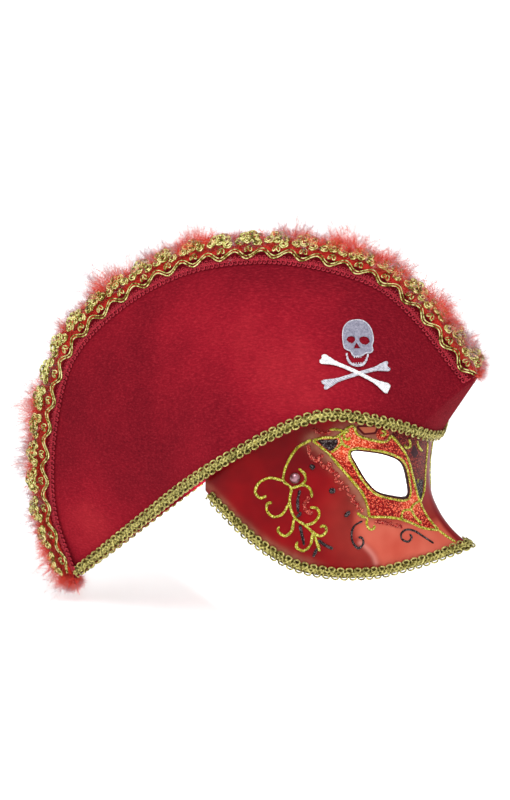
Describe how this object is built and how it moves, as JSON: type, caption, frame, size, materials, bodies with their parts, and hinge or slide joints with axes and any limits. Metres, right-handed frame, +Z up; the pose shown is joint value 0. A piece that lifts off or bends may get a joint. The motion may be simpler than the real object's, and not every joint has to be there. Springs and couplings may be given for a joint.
{
  "type": "pirate hat with half-face mask",
  "caption": "Costume hat of two felt panels with a feathered top seam, sewn over a painted half-face mask with eye holes; worn on the head and face.",
  "frame": {"origin": "middle of the wearer's head, level with the eyes, on the mid-plane", "axes": "+Z up, the face looks along -Y, the wearer's right side is -X"},
  "size_m": [0.14, 0.2832, 0.2136],
  "materials": {
    "mask": "gloss red paint with glitter lines",
    "felt": "matt pressed felt",
    "lining": "matt woven",
    "gold_trim": "metallic gold thread",
    "red_trim": "matt braid",
    "feathers": "soft down",
    "embroidery": "satin stitch",
    "bead": "pearl",
    "tab": "matt felt"
  },
  "bodies": {
    "root": {"mask_shell": "mask", "felt_panel_right": "felt", "felt_panel_left": "felt", "lining_right": "lining", "lining_left": "lining", "hat_edge_gimp": "gold_trim", "mask_edge_gimp": "gold_trim", "gold_lace_right": "gold_trim", "gold_lace_left": "gold_trim", "red_gimp_right": "red_trim", "red_gimp_left": "red_trim", "feather_boa": "feathers", "skull_right": "embroidery", "skull_left": "embroidery", "crossbones_right": "embroidery", "crossbones_left": "embroidery", "cheek_bead_right": "bead", "cheek_bead_left": "bead", "strap_tab_right": "tab", "strap_tab_left": "tab"}
  },
  "joints": []
}
